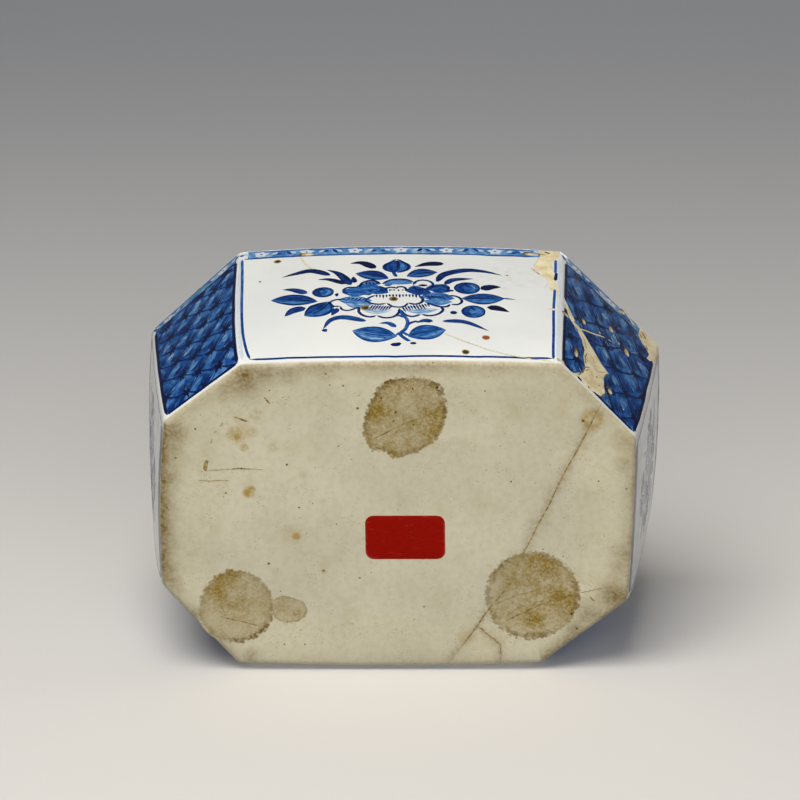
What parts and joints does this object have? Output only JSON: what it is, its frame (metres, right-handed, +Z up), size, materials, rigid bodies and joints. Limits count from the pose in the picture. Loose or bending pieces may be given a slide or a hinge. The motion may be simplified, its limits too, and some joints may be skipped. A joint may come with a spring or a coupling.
{
  "type": "butter tub",
  "caption": "Oblong octagonal earthenware butter tub with flaring slab walls, blue painted panels, a restored break and a plain flat base.",
  "frame": {"origin": "middle of the base, on the surface that the tub stands on", "axes": "+Z up towards the rim, X along the length with the broken and restored end at +X, front long wall at -Y"},
  "size_m": [0.1338, 0.0988, 0.06],
  "materials": {
    "glazed_body": "white tin glaze over buff earthenware, painted in cobalt blue, glossy with fine pits",
    "repair_filler": "matt beige restorer's filler, sanded nearly flush",
    "red_paper": "matt red paper label without lettering",
    "pad_residue": "thin brown dried adhesive and felt dust"
  },
  "bodies": {
    "root": {"tub_body": "glazed_body", "right_end_shard": "glazed_body", "corner_rim_shard": "glazed_body", "floor_edge_shard": "glazed_body", "corner_fill": "repair_filler", "front_rim_fill": "repair_filler", "rim_corner_fill": "repair_filler", "paper_label": "red_paper", "pad_residue_front": "pad_residue", "pad_residue_left": "pad_residue", "pad_residue_right": "pad_residue", "pad_residue_small": "pad_residue"}
  },
  "joints": []
}
